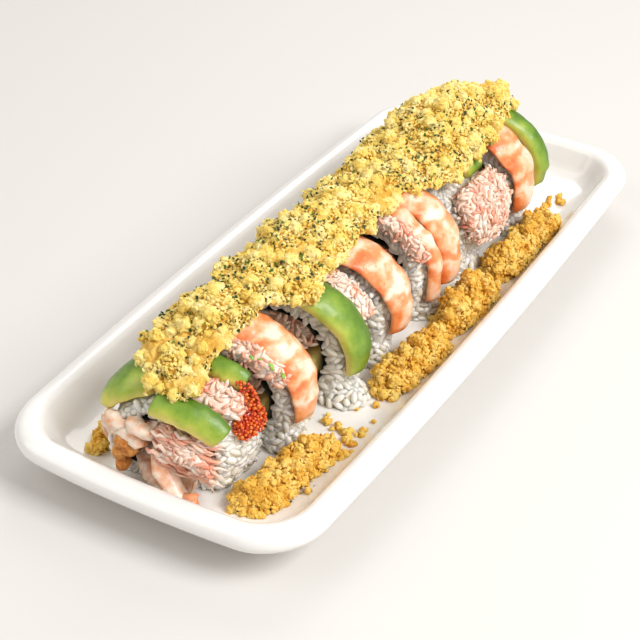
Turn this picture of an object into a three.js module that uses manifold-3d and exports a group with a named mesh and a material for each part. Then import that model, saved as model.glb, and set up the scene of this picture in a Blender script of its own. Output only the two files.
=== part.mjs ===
// Uramaki roll on its long plate: seven cut slices with their fillings, draped toppings, a ridge of
// crunch flakes and the loose crumbs beside it. Millimetres, +Z up, origin at the middle of the foot.
import * as THREE from 'three';
import { mergeVertices } from 'three/addons/utils/BufferGeometryUtils.js';
import Module from 'manifold-3d';

const wasm = await Module();
wasm.setup();

// Plate
const PLATE_WIDTH = 120;
const PLATE_LENGTH = 280;
const CORNER_RADIUS = 20;
const LONG_SIDE_BOW = 3.5;
const SHORT_SIDE_BOW = 3.2;
const LIP_HALF_WIDTH = 4.8;
const LIP_HALF_HEIGHT = 4.1;
const RIM_HEIGHT = 20;
const FLOOR_HEIGHT = 8;
const CORNER_STEPS = 6;
const WELL_CORNER = 29;
const WELL_WALL = [[10.3, 15.6], [12, 12.4], [14, 10.1], [16.8, 8.7], [21, FLOOR_HEIGHT]];

// Roll
const REST_GAP = 0.15;
const PIECE_GAP = 0.35;
const SETTLE = 0.95;
const CUT_SLANT = 0.2;
const LOWER_POWER = 0.5;
const HOLE_FRACTION = 0.74;
const NORI_THICKNESS = 0.8;
const GRAIN_BUMP = 0.7;
const TOPPING_LIFT = GRAIN_BUMP + PIECE_GAP;
const FLAKE_LIFT = 7.2;
const RIDGE_ENDS = [-119, 97];
const RIDGE_HEIGHT = [[-119, 2], [-100, 3.5], [40, 4.5], [60, 8], [80, 12], [97, 3]];
const RIDGE_BUMP = 3;
const RIDGE_ROWS = 44;
const RIDGE_COLUMNS = 11;
const RIDGE_UNDER = [1, 0.83, 0.67, 0.5, 0.33, 0.17, 0];
const RIDGE_RIGHT = [
  [-119, 70], [-110, 68], [-101, 75], [-90, 73], [-75, 76], [-71, 61], [-44, 63], [-29, 72], [-13, 69],
  [-7, 65], [7, 73], [13, 65], [21, 55], [44, 55], [49, 64], [55, 51], [66, 54], [77, 61], [91, 66], [97, 72],
];
const RIDGE_LEFT = [[-119, 100], [-108, 114], [-96, 126], [30, 130], [50, 140], [97, 140]];
const RICE_SEGMENTS = 28;
const NORI_SEGMENTS = 14;
const SLICES = [[-117, -102], [-90, -74.5], [-60, -43], [-33, -18.5], [-5, 20], [28, 54], [67, 90]];
const CENTRE_LINE = [[-114, -0.5], [-88, 1.5], [-52, 3.5], [0, 3], [40, 3.8], [98, 5]];
const HALF_WIDTH = [[-114, 20.5], [-90, 23], [98, 23]];
const HALF_HEIGHT = [[-114, 15.5], [-88, 20.2], [98, 20.2]];

// Steps of the fillings that spill out of the near cut: offset and size
const CRAB_SPILL = [[0, -1.4, 0, 1], [5, -3.2, -1, 0.9], [8.5, -5.5, -2.5, 0.85], [10, -7.5, -2.5, 0.55]];
const SHRIMP_SPILL = [
  [0.8, -2.5, -2, 0.9], [2.5, -4.5, -4.5, 0.75], [4.5, -6.5, -6.5, 0.6], [5.5, -7.8, -8, 0.35],
];

// Lumps of fried batter at the near cut: place and radius
const TEMPURA = [
  [-13.5, -124, 15, 3.6], [-14, -124.3, 20, 3.8], [-12.5, -124, 25, 3.6], [-10, -123.6, 22, 3.2],
];

// Toppings: name, kind, near and far end, lower and upper angle over the roll, thickness
const TOPPINGS = [
  ['avocado_left_1', 'avocado', -117, -98, 100, 160, 6.5],
  ['avocado_front_1', 'avocado', -123.5, -114.5, 33, 96, 5.5],
  ['crab_top_1', 'crab', -114, -104.8, 37, 90, 5],
  ['avocado_back_1', 'avocado', -104.2, -97.6, 50, 90, 4.5],
  ['roe_top_1', 'crab', -113, -102, 14, 34, 3.5],
  ['crab_top_2', 'crab', -95, -89.6, 30, 80, 5],
  ['shrimp_top_2', 'shrimp', -89, -74, -6, 158, 5],
  ['avocado_top_3', 'avocado', -65.5, -51, -6, 150, 5.5],
  ['crab_top_3', 'crab', -50.4, -41, 24, 88, 5.5],
  ['shrimp_top_4', 'shrimp', -37.5, -19.5, -8, 158, 5.5],
  ['crab_top_5', 'crab', -7.5, -2.2, 22, 84, 5.5],
  ['shrimp_strip_5', 'shrimp', -1.6, 6.6, -10, 120, 4.5],
  ['shrimp_top_5', 'shrimp', 7.2, 22.5, -10, 158, 5.5],
  ['avocado_top_6', 'avocado', 42, 57, 47, 150, 5],
  ['crab_top_6', 'crab', 27, 57, -1, 44, 8],
  ['shrimp_top_7', 'shrimp', 64, 82, -10, 158, 5.5],
  ['avocado_top_7', 'avocado', 82.8, 92.5, -4, 140, 5],
];

// Loose crumbs: name and a chain of places along Y, each with half width and height
const MOUND_STEP = 3;
const CRUMBS = [
  ['crumbs_near', [
    [26, -119, 5, 5], [28.5, -112, 8, 7], [30.5, -106, 6, 6], [31, -98, 6.5, 8], [32, -90, 7, 9],
    [34, -83, 5.5, 7], [35, -75, 4.5, 5],
  ]],
  ['crumbs_mid', [
    [35.5, -46, 4.5, 5], [36.5, -39, 6.5, 8], [37, -30, 6.5, 10], [38, -21, 7, 11], [39, -13, 7, 10],
    [40, -8, 4.5, 6],
  ]],
  ['crumbs_far', [
    [37.5, -3, 6, 8], [38, 5, 6.5, 10], [38, 14, 7, 11], [38, 23, 7.5, 10], [39, 32, 6.5, 8],
  ]],
  ['crumbs_end', [
    [37.5, 37, 6, 8], [38, 45, 6.5, 10], [38.5, 54, 6.5, 10], [38.5, 62, 6.5, 9], [39, 71, 6.5, 10],
    [40, 80, 5.5, 9], [40, 86, 4, 6],
  ]],
  ['crumbs_left', [[-29.5, -119, 3, 4], [-30, -113, 4, 6], [-31.5, -107, 3.5, 5]]],
];

const COLOURS = {
  plate: '#f1efec', rice: '#ebe6d8', nori: '#161a14', crab: '#e9b6a0', shrimp: '#efb48c', avocado: '#7fa63c',
  roe: '#dd5a1c', tempura: '#cf9452', flakes: '#ead27c', crumbs: '#dcae48',
};
const ROUGHNESS = { plate: 0.2, nori: 0.6, shrimp: 0.35, avocado: 0.4 };

const object = new THREE.Group();
object.name = 'uramaki_roll';

// Small seeded generator, so each build gives the same lumps
function seeded(seed) {
  let state = seed;
  return () => {
    state = (state * 1664525 + 1013904223) % 4294967296;
    return state / 4294967296;
  };
}

// Straight lines between knots, carried on past both ends
function along(knots, y) {
  let i = 1;
  while (i < knots.length - 1 && y > knots[i][0]) i += 1;
  const [y0, v0] = knots[i - 1];
  const [y1, v1] = knots[i];
  return v0 + (v1 - v0) * (y - y0) / (y1 - y0);
}

// Place on the roll: angle from +X over the top, distance along it, share of its radius and added lift.
// The lower half stands square on the plate, and the cuts slant across it.
function onRoll(angle, y, share, lift) {
  const high = along(HALF_HEIGHT, y);
  const turn = THREE.MathUtils.degToRad(angle);
  const power = Math.sin(turn) < -1e-9 ? LOWER_POWER : 1;
  const spread = (v) => Math.sign(v) * Math.abs(v) ** power;
  const side = (along(HALF_WIDTH, y) * share + lift) * spread(Math.cos(turn));
  return new THREE.Vector3(
    along(CENTRE_LINE, y) + side,
    y + CUT_SLANT * side,
    FLOOR_HEIGHT + high * SETTLE + (high * share + lift) * spread(Math.sin(turn)),
  );
}

function middle(ring) {
  const sum = new THREE.Vector3();
  ring.forEach((p) => sum.add(p));
  return sum.divideScalar(ring.length);
}

function signedVolume(points, faces) {
  let volume = 0;
  for (const [a, b, c] of faces) volume += points[a].dot(points[b].clone().cross(points[c])) / 6;
  return volume;
}

function toGeometry(points, faces) {
  const outward = signedVolume(points, faces) > 0;
  const geometry = new THREE.BufferGeometry();
  geometry.setAttribute('position', new THREE.Float32BufferAttribute(points.flatMap((p) => p.toArray()), 3));
  geometry.setIndex(faces.flatMap(([a, b, c]) => (outward ? [a, b, c] : [a, c, b])));
  return geometry;
}

// Skin over a row of closed rings: the last ring joins the first, or both ends are closed to a middle
// point that stands out by the given bulge
function loft(rings, { wrap = false, bulge = 0 } = {}) {
  const count = rings[0].length;
  const points = rings.flat();
  const faces = [];
  const spans = wrap ? rings.length : rings.length - 1;
  for (let i = 0; i < spans; i += 1) {
    const here = i * count;
    const next = ((i + 1) % rings.length) * count;
    for (let j = 0; j < count; j += 1) {
      const k = (j + 1) % count;
      faces.push([here + j, here + k, next + k], [here + j, next + k, next + j]);
    }
  }
  if (!wrap) {
    const first = middle(rings[0]);
    const last = middle(rings[rings.length - 1]);
    const way = last.clone().sub(first).normalize().multiplyScalar(bulge);
    points.push(first.sub(way), last.add(way));
    const end = (rings.length - 1) * count;
    for (let j = 0; j < count; j += 1) {
      const k = (j + 1) % count;
      faces.push([points.length - 2, k, j], [points.length - 1, end + j, end + k]);
    }
  }
  return toGeometry(points, faces);
}

function toManifold(source) {
  const bare = source.clone();
  bare.deleteAttribute('normal');
  bare.deleteAttribute('uv');
  const merged = mergeVertices(bare, 1e-4);
  return new wasm.Manifold(new wasm.Mesh({
    numProp: 3,
    vertProperties: new Float32Array(merged.attributes.position.array),
    triVerts: new Uint32Array(merged.index.array),
  }));
}

function fuse(geometries) {
  const solid = wasm.Manifold.union(geometries.map(toManifold)).simplify(0.02);
  const mesh = solid.getMesh();
  const geometry = new THREE.BufferGeometry();
  geometry.setAttribute('position', new THREE.Float32BufferAttribute(mesh.vertProperties, 3));
  geometry.setIndex(Array.from(mesh.triVerts));
  return geometry;
}

function addPart(name, look, geometry) {
  const material = new THREE.MeshStandardMaterial({
    color: COLOURS[look], roughness: ROUGHNESS[look] ?? 0.7, metalness: 0,
  });
  const mesh = new THREE.Mesh(geometry, material);
  mesh.name = name;
  object.add(mesh);
}

// Rounded oblong with softly bowed sides, drawn in by an inset
function plateOutline(inset, z) {
  const halfX = PLATE_WIDTH / 2;
  const halfY = PLATE_LENGTH / 2;
  const radius = Math.max(CORNER_RADIUS - 0.55 * inset, 6);
  const bowed = (x, y) => new THREE.Vector3(
    x * (1 - LONG_SIDE_BOW / halfX * (y / halfY) ** 2),
    y * (1 - SHORT_SIDE_BOW / halfY * (x / halfX) ** 2),
    z,
  );
  const ring = [];
  const corners = [[1, 1], [-1, 1], [-1, -1], [1, -1]];
  corners.forEach(([sx, sy], c) => {
    const cx = sx * (halfX - inset - radius);
    const cy = sy * (halfY - inset - radius);
    for (let i = 0; i <= CORNER_STEPS; i += 1) {
      const turn = (c + i / CORNER_STEPS) * Math.PI / 2;
      ring.push(bowed(cx + radius * Math.cos(turn), cy + radius * Math.sin(turn)));
    }
    const alongY = c % 2 === 1;
    const steps = alongY ? 5 : 3;
    for (let i = 1; i < steps; i += 1) {
      const share = 1 - 2 * i / steps;
      ring.push(alongY ? bowed(cx + sx * radius, cy * share) : bowed(cx * share, cy + sy * radius));
    }
  });
  return ring;
}

function buildPlate() {
  const under = [[35, 2.5], [33.5, 0], [28, 0], [26.5, 1.2], [14, 8.4], [6.4, 11.6]];
  const lip = [-70, -35, 0, 30, 60, 90, 120, 145].map((degrees) => {
    const turn = THREE.MathUtils.degToRad(degrees);
    return [LIP_HALF_WIDTH * (1 - Math.cos(turn)), RIM_HEIGHT - LIP_HALF_HEIGHT * (1 - Math.sin(turn))];
  });
  const profile = [...under, ...lip, ...WELL_WALL];
  addPart('plate', 'plate', loft(profile.map(([inset, z]) => plateOutline(inset, z))));
}

// Height of the plate's well under a place, with the rest gap on it
function wellHeight(x, y) {
  const halfX = PLATE_WIDTH / 2 - LONG_SIDE_BOW * (2 * y / PLATE_LENGTH) ** 2;
  const halfY = PLATE_LENGTH / 2 - SHORT_SIDE_BOW * (2 * x / PLATE_WIDTH) ** 2;
  const pastX = Math.max(Math.abs(x) - halfX + WELL_CORNER, 0);
  const pastY = Math.max(Math.abs(y) - halfY + WELL_CORNER, 0);
  const inset = WELL_CORNER - Math.hypot(pastX, pastY);
  return Math.max(FLOOR_HEIGHT, along(WELL_WALL, inset)) + REST_GAP;
}

// Closed ring round the roll at one place along it
function ringAt(segments, y, share, lift) {
  return Array.from({ length: segments }, (_, i) => onRoll(360 * i / segments, y, share, lift));
}

function buildRice(number, near, far) {
  const random = seeded(40 + number);
  const rows = [0, 0.2, 0.4, 0.6, 0.8, 1];
  const bumpy = (y, share, size, lift = 0) => ringAt(RICE_SEGMENTS, y, share, lift).map((p) => {
    const out = p.clone().sub(new THREE.Vector3(along(CENTRE_LINE, y), p.y, 28)).normalize();
    p.addScaledVector(out, size * (2 * random() - 1));
    p.z = Math.max(p.z, FLOOR_HEIGHT + REST_GAP);
    return p;
  });
  const rings = rows.map((t) => bumpy(near + (far - near) * t, 1, GRAIN_BUMP, t % 1 === 0 ? -0.7 : 0));
  const face = (1 + HOLE_FRACTION) / 2;
  rings.push(bumpy(far + 0.5, face, 0.4), ringAt(RICE_SEGMENTS, far, HOLE_FRACTION, 0));
  rings.push(ringAt(RICE_SEGMENTS, near, HOLE_FRACTION, 0), bumpy(near - 0.5, face, 0.4));
  addPart(`rice_${number}`, 'rice', loft(rings, { wrap: true }));
}

function buildNori(number, near, far) {
  const outer = -PIECE_GAP;
  const inner = outer - NORI_THICKNESS;
  const rings = [[near, outer], [far, outer], [far, inner], [near, inner]].map(
    ([y, lift]) => ringAt(NORI_SEGMENTS, y, HOLE_FRACTION, lift),
  );
  addPart(`nori_${number}`, 'nori', loft(rings, { wrap: true }));
}

// Strip of filling that runs through one slice, a sector of the wrapped core closed by a chord
function fillingRing(y, from, to, steps) {
  const lift = -NORI_THICKNESS - 3 * PIECE_GAP;
  return Array.from({ length: steps + 1 }, (_, i) => (
    onRoll(from + (to - from) * i / steps, y, HOLE_FRACTION, lift)
  ));
}

function buildFilling(name, look, near, far, from, to, steps, bulge) {
  const rings = [near, far].map((y) => fillingRing(y, from, to, steps));
  addPart(name, look, loft(rings, { bulge }));
}

// Filling of the end slice: through its core, then spilling out of the near cut by the given steps of
// offset and size
function buildSpill(name, look, near, far, from, to, steps) {
  const inside = [far, near].map((y) => fillingRing(y, from, to, 10));
  const place = middle(inside[1]);
  const outside = steps.map(([dx, dy, dz, size]) => inside[1].map((p) => {
    const q = p.clone().sub(place).multiplyScalar(size).add(place).add(new THREE.Vector3(dx, dy, dz));
    q.z = Math.max(q.z, wellHeight(q.x, q.y));
    return q;
  }));
  addPart(name, look, loft([...inside, ...outside], { bulge: 0.6 }));
}

// Relative thickness of a topping over its length (s) and its width (t)
const RELIEF = {
  shrimp: (s, t) => (0.45 + 0.55 * Math.sin(Math.PI * t)) * (0.82 + 0.18 * Math.cos(2 * Math.PI * 5 * s)),
  avocado: (s, t) => 0.6 + 0.4 * Math.sin(Math.PI * t) * Math.sin(Math.PI * Math.min(1, 0.15 + s)),
  crab: (s, t, random) => 0.5 + 0.3 * Math.sin(Math.PI * t) + 0.2 * random(),
};
const END_WIDTH = { shrimp: 0.55, avocado: 0.6, crab: 0.75 };
const ARC_STEP = { shrimp: 16, avocado: 15, crab: 12 };

// Slab laid over the roll, its width drawn in towards both ends
function buildTopping([name, kind, near, far, low, high, thickness], index) {
  const random = seeded(200 + index);
  const steps = Math.max(4, Math.round((high - low) / ARC_STEP[kind]));
  const columns = [0, 0.33, 0.67, 1];
  const centre = (near + far) / 2;
  const rings = [];
  for (let i = 0; i <= steps; i += 1) {
    const s = i / steps;
    const taper = END_WIDTH[kind] + (1 - END_WIDTH[kind]) * Math.sin(Math.PI * s) ** 0.5;
    const angle = low + (high - low) * s;
    const width = (far - near) * taper;
    const place = (t, lift) => onRoll(angle, centre + (t - 0.5) * width, 1, TOPPING_LIFT + lift);
    const under = columns.map((t) => place(t, 0));
    const over = columns.map((t) => place(t, thickness * RELIEF[kind](s, t, random)));
    rings.push([...under, ...over.reverse()]);
  }
  const look = name.split('_')[0];
  addPart(name, look, loft(rings, { bulge: 0.4 }));
}

// Rough lump, flattened where it would pass into the plate
function lump(centre, radius, random) {
  const geometry = new THREE.IcosahedronGeometry(radius, 0);
  geometry.rotateX(random() * 3).rotateY(random() * 3);
  geometry.scale(0.85 + 0.3 * random(), 0.85 + 0.3 * random(), 0.85 + 0.3 * random());
  geometry.translate(centre.x, centre.y, centre.z);
  const place = geometry.attributes.position;
  for (let i = 0; i < place.count; i += 1) {
    place.setZ(i, Math.max(place.getZ(i), wellHeight(place.getX(i), place.getY(i))));
  }
  return geometry;
}

// Ridge of crunch flakes laid over the toppings, with bumps of the size of its clumps
function buildFlakes() {
  const random = seeded(7);
  const rings = [];
  for (let i = 0; i <= RIDGE_ROWS; i += 1) {
    const y = RIDGE_ENDS[0] + (RIDGE_ENDS[1] - RIDGE_ENDS[0]) * i / RIDGE_ROWS;
    const fade = Math.min(1, 0.2 + 5 * Math.min(i, RIDGE_ROWS - i) / RIDGE_ROWS);
    const right = along(RIDGE_RIGHT, y);
    const left = along(RIDGE_LEFT, y) + 4 * Math.sin(y / 9);
    const angleAt = (t) => right + (left - right) * t;
    const under = RIDGE_UNDER.map((t) => onRoll(angleAt(t), y, 1, FLAKE_LIFT));
    const over = Array.from({ length: RIDGE_COLUMNS + 1 }, (_, j) => {
      const t = j / RIDGE_COLUMNS;
      const bump = RIDGE_BUMP * random();
      const bed = along(RIDGE_HEIGHT, y) * (1 - 0.35 * t) * Math.sin(Math.PI * t) ** 0.6;
      const lift = FLAKE_LIFT + 0.8 + fade * (bed + bump);
      return onRoll(angleAt(t) + 3 * (random() - 0.5), y, 1, lift);
    });
    rings.push([...over, ...under]);
  }
  addPart('flake_ridge', 'flakes', loft(rings));
}

// Mound of crumbs along a chain of places, low at its rim and bumpy on top
function buildCrumbs([name, chain], index) {
  const random = seeded(90 + index);
  const knots = (k) => chain.map((spot) => [spot[1], spot[k]]);
  const start = chain[0][1];
  const end = chain[chain.length - 1][1];
  const rows = Math.round((end - start) / MOUND_STEP);
  const rings = [];
  for (let i = 0; i <= rows; i += 1) {
    const y = start + (end - start) * i / rows;
    const fade = Math.min(1, 0.45 + Math.min(i, rows - i) * 0.3);
    const half = along(knots(2), y) * fade;
    const across = [1, 0.85, 0.5, 0.15, -0.2, -0.55, -0.85, -1];
    const over = across.map((t) => {
      const x = along(knots(0), y) + t * half;
      const rise = along(knots(3), y) * fade * (1 - t * t) ** 0.6 * (0.65 + 0.7 * random());
      return new THREE.Vector3(x, y, wellHeight(x, y) + 0.5 + rise);
    });
    const under = [-0.95, 0, 0.95].map((t) => {
      const x = along(knots(0), y) + t * half;
      return new THREE.Vector3(x, y, wellHeight(x, y));
    });
    rings.push([...over, ...under]);
  }
  addPart(name, 'crumbs', loft(rings));
}

// Fried batter that spills out of the near cut beside the crab
function buildTempura() {
  const random = seeded(31);
  const lumps = TEMPURA.map(([x, y, z, radius]) => lump(new THREE.Vector3(x, y, z), radius, random));
  addPart('tempura_front_1', 'tempura', fuse(lumps));
}

buildPlate();
SLICES.forEach(([near, far], index) => {
  const number = index + 1;
  buildRice(number, near, far);
  buildNori(number, near + 0.3, far - 0.3);
  if (number === 1) {
    buildSpill('crab_filling_1', 'crab', near + 0.3, far - 0.3, -8, 130, CRAB_SPILL);
    buildSpill('shrimp_filling_1', 'shrimp', near + 0.3, far - 0.3, 196, 344, SHRIMP_SPILL);
  } else {
    buildFilling(`crab_filling_${number}`, 'crab', near + 0.3, far - 0.3, 18, 252, 13, 1);
    buildFilling(`avocado_filling_${number}`, 'avocado', near + 0.3, far - 0.3, 260, 370, 7, 0.6);
  }
});
TOPPINGS.forEach(buildTopping);
buildTempura();
buildFlakes();
CRUMBS.forEach(buildCrumbs);

export default object;
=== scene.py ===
"""Looks of a sliced uramaki roll on its long plate: rice, fillings, toppings, flakes and crumbs."""
import math

import bmesh
import bpy
import numpy as np
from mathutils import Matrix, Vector, noise


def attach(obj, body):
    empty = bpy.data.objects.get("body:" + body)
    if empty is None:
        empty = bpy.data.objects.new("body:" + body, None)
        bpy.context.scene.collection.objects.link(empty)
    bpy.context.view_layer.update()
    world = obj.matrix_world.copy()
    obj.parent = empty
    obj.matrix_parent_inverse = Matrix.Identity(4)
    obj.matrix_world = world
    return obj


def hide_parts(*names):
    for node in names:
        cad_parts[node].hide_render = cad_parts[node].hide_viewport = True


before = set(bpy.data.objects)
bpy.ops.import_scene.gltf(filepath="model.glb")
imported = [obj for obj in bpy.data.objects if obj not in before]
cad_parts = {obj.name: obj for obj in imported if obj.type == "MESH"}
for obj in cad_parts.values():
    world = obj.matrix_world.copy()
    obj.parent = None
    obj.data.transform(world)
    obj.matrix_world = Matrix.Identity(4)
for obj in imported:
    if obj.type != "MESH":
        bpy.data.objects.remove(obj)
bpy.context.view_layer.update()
MM = 0.001

# Plate, in mm
PLATE_HALF_WIDTH = 60
PLATE_HALF_LENGTH = 140
CORNER_RADIUS = 20
LONG_SIDE_BOW = 3.5
SHORT_SIDE_BOW = 3.2
LIP_HALF_WIDTH = 4.8
LIP_HALF_HEIGHT = 4.1
RIM_HEIGHT = 20
FLOOR_HEIGHT = 8
WELL_WALL = [(8.7, 18.25), (10.3, 15.6), (12, 12.4), (14, 10.1), (16.8, 8.7), (21, 8)]

# Roll, in mm: its line over the plate, its half width and half height, and its cuts
SETTLE = 0.95
CUT_SLANT = 0.2
LOWER_POWER = 0.5
HOLE_SHARE = 0.74
CENTRE_LINE = [(-124, -1.27), (-88, 1.5), (-52, 3.5), (0, 3), (40, 3.8), (110, 5.25)]
HALF_WIDTH = [(-124, 19.46), (-90, 23), (110, 23)]
HALF_HEIGHT = [(-124, 13.69), (-88, 20.2), (110, 20.2)]
SLICES = [(-117, -102), (-90, -74.5), (-60, -43), (-33, -18.5), (-5, 20), (28, 54), (67, 90)]

# Toppings draped over the roll: name, near and far end along the roll, low and high angle over it, thickness,
# shift of the low end along the roll, and seed
SHRIMP_TOPS = [
    ("shrimp_top_2", -89, -74, -6, 158, 5.0, -4, 1),
    ("shrimp_top_4", -37.5, -19.5, -8, 158, 5.5, 4, 2),
    ("shrimp_strip_5", -1.6, 6.6, -14, 120, 4.5, -2, 3),
    ("shrimp_top_5", 7.2, 22.5, -10, 158, 5.5, -3, 4),
    ("shrimp_top_7", 64, 82, -10, 158, 5.5, 0, 5),
]
AVOCADO_TOPS = [
    ("avocado_left_1", -117, -98, 100, 160, 6.5, 0, 11),
    ("avocado_front_1", -123.5, -114.5, 33, 96, 5.5, 0, 12),
    ("avocado_back_1", -104.2, -97.6, 50, 90, 4.5, 0, 13),
    ("avocado_top_3", -65.5, -51, -6, 150, 5.5, 3, 14),
    ("avocado_top_6", 42, 57, 47, 150, 5, 0, 15),
    ("avocado_top_7", 82.8, 92.5, -4, 140, 5, 0, 16),
]
# Roe trailing up behind the crab: angle and place along the roll, radius at each, height over the rice
ROE_STRIP = [(56, -102.3), (48, -102.8), (41, -103.8), (33, -105.5)]
ROE_GIRTH = [1.0, 1.8, 2.1, 2.2]
ROE_LIFT = 4.0
# Scale of the patches of herb on the flakes, per metre
HERB_PATCH = 70.0
# Rice spread on the plate: place along the roll, reach to the side, half length and height
RICE_FOOT_SIDE = 19
RICE_FEET = [(-82, 7, 7, 9), (-51, 11, 8, 8), (-26, 7, 7, 9), (10, 7.5, 9, 9), (42, 6, 9, 8), (78, 9, 9, 8)]

# Near cut: shrimp lumps as place and radius, and the tail as its line and its radius along it
CUT_FACE = -118.6
SHRED_COUNT = 95
SHRIMP_LUMPS = [(-16, -121.5, 29, 3.6), (-10.5, -122.5, 26, 3.8), (-7, -122, 30, 3.2), (-19, -120, 25, 3)]
CURL_GIRTH = [0.5, 0.8, 0.9, 0.9, 0.9, 0.8, 0.8, 0.7, 0.4]
TAIL_LINE = [(-1, -119.5, 22), (2, -122.5, 17.5), (5.5, -124, 13.6), (9, -124.5, 11.3), (11.5, -124.6, 10.4)]
TAIL_GIRTH = [3.6, 4.2, 3.6, 2.6, 1.4]
TIP_GIRTH = [1.4, 2.3, 2.0, 0.4]
TIP_LEANS = (-0.9, 1.1)

# Loose bits on the plate, as x and y, and spring onion as angle and place along the roll and lift
LOOSE_CRUMBS = [(39.3, -72), (36.4, -70), (38.7, -87), (38.6, -82.4), (34.2, -115.6), (-5.6, -119),
                (27.5, -66),
                (36.2, -44), (32.9, -74), (32.8, -69), (34.5, 107), (31.3, 103), (36, 105.5), (40,
                                                                                               -66), (41, -78)]
CRUMBS_AT_EACH = 5
CRUMB_SPREAD = 1.2
STRAY_CRUMBS = 60
STRAY_SIDE = (27, 41)
STRAY_ALONG = (-104, 100)
LOOSE_HERBS = [(-33.8, -117.3), (-32.5, -115.3), (36.4, -89.2), (40.1, -96), (38.5, -101.4), (37.8, -106.2),
               (34.5, -111.5), (14.5, -114.5), (36.2, -87.1), (41, -99.4)]
SPRING_ONION = [(52, -95.5, 7.2), (46, -95, 7), (41, -94.5, 6.4), (36, -93.8, 6), (58, -96, 6)]

# Studio lights: name, place and size in metres, power in watts
LIGHTS = [
    ("key", (0.75, -0.02, 0.75), 0.5, 10.5),
    ("fill", (-0.7, -0.6, 0.8), 1.0, 4),
    ("rim", (-0.3, 0.8, 0.7), 0.6, 3),
]

# Camera: place in mm, turn and tilt in degrees, lens for a 36 mm sensor
CAMERA_PLACE = (235.2, -418.3, 338.7)
CAMERA_TURN = 30.9
CAMERA_TILT = 35.22
CAMERA_LENS = 88.45


def along(knots, y):
    """Straight lines between knots."""
    return np.interp(y, [k[0] for k in knots], [k[1] for k in knots])


def on_roll(angle, y, lift=0.0, share=1.0):
    """Places on the roll in metres: angle in degrees from +X over the top, y and lift in mm."""
    angle, y, lift = np.broadcast_arrays(np.radians(angle), np.asarray(y, float), np.asarray(lift, float))
    c, s = np.cos(angle), np.sin(angle)
    low = s < -1e-9
    c = np.where(low, np.sign(c) * np.abs(c) ** LOWER_POWER, c)
    s = np.where(low, np.sign(s) * np.abs(s) ** LOWER_POWER, s)
    high = along(HALF_HEIGHT, y)
    side = (along(HALF_WIDTH, y) * share + lift) * c
    z = FLOOR_HEIGHT + high * SETTLE + (high * share + lift) * s
    return np.stack([along(CENTRE_LINE, y) + side, y + CUT_SLANT * side, z], axis=-1) * MM


def roll_share(place):
    """How far out a place lies between the roll's line (0) and its surface (1)."""
    x, y, z = (v / MM for v in place)
    side = x - float(along(CENTRE_LINE, y))
    high = float(along(HALF_HEIGHT, y))
    return math.hypot(side / float(along(HALF_WIDTH, y)), (z - FLOOR_HEIGHT - high * SETTLE) / high)


def linear(code):
    """Linear colour with alpha from a hex colour as a screen shows it."""
    values = [int(code[i:i + 2], 16) / 255 for i in (1, 3, 5)]
    return tuple(v / 12.92 if v <= 0.04045 else ((v + 0.055) / 1.055) ** 2.4 for v in values) + (1.0,)


def socket_of(sockets, key):
    """The socket with this identifier, or else the first shown one with this name."""
    for socket in sockets:
        if socket.identifier == key and socket.enabled:
            return socket
    name = key.replace("_", " ")
    return next(s for s in sockets if s.name == name and s.enabled)


def add(tree, kind, settings=None, **inputs):
    """Adds a node, sets its options, and fills its inputs with values or links."""
    made = tree.nodes.new(kind)
    for key, value in (settings or {}).items():
        setattr(made, key, value)
    for key, value in inputs.items():
        socket = socket_of(made.inputs, key)
        if isinstance(value, bpy.types.NodeSocket):
            tree.links.new(value, socket)
        else:
            socket.default_value = value
    return made


def out(made, key=None):
    """An output of a node, the first shown one by default."""
    if key is None:
        return next(s for s in made.outputs if s.enabled)
    return socket_of(made.outputs, key)


def mesh_piece(name, verts, faces, material=None, smooth=True, **attributes):
    """A mesh object from arrays, with point attributes, in the scene."""
    mesh = bpy.data.meshes.new(name)
    mesh.from_pydata([tuple(v) for v in verts], [], [tuple(f) for f in faces])
    for key, values in attributes.items():
        mesh.attributes.new(key, "FLOAT", "POINT").data.foreach_set("value", np.asarray(values, np.float32))
    mesh.update()
    if smooth:
        mesh.shade_smooth()
    else:
        mesh.shade_flat()
    piece = bpy.data.objects.new(name, mesh)
    bpy.context.scene.collection.objects.link(piece)
    if material:
        mesh.materials.append(material)
    return piece


def outward(piece):
    """Turns the faces of a closed piece outwards."""
    form = bmesh.new()
    form.from_mesh(piece.data)
    bmesh.ops.remove_doubles(form, verts=form.verts, dist=1e-6)
    bmesh.ops.recalc_face_normals(form, faces=form.faces)
    form.to_mesh(piece.data)
    form.free()
    return piece


def ring_faces(rows, count, wrap=False):
    """Quads between rows of closed rings."""
    faces = []
    for i in range(rows if wrap else rows - 1):
        here = i * count
        after = ((i + 1) % rows) * count
        for j in range(count):
            k = (j + 1) % count
            faces.append((here + j, here + k, after + k, after + j))
    return faces


def tube_faces(rows, count):
    """Quads between rows of closed rings, with a face at each end."""
    last = (rows - 1) * count
    return ring_faces(rows, count) + [tuple(range(count)), tuple(range(last + count - 1, last - 1, -1))]


def mesh_surface(source, keep=None, grow=0.0):
    """A merged copy of a mesh, moved along its normals, with only the faces that keep accepts."""
    form = bmesh.new()
    form.from_mesh(source)
    bmesh.ops.remove_doubles(form, verts=form.verts, dist=1e-6)
    form.normal_update()
    if grow:
        for vert, normal in [(v, v.normal.copy()) for v in form.verts]:
            vert.co += normal * grow
    if keep:
        drop = [f for f in form.faces if not keep(f.calc_center_median(), f.normal)]
        bmesh.ops.delete(form, geom=drop, context="FACES")
    mesh = bpy.data.meshes.new(source.name + "_surface")
    form.to_mesh(mesh)
    form.free()
    return mesh


def node_surface(name, keep=None, grow=0.0):
    return mesh_surface(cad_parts[name].data, keep, grow)


def joined(meshes, name):
    """One mesh from several."""
    form = bmesh.new()
    for mesh in meshes:
        form.from_mesh(mesh)
    made = bpy.data.meshes.new(name)
    form.to_mesh(made)
    form.free()
    return made


# Geometry node trees

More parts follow.
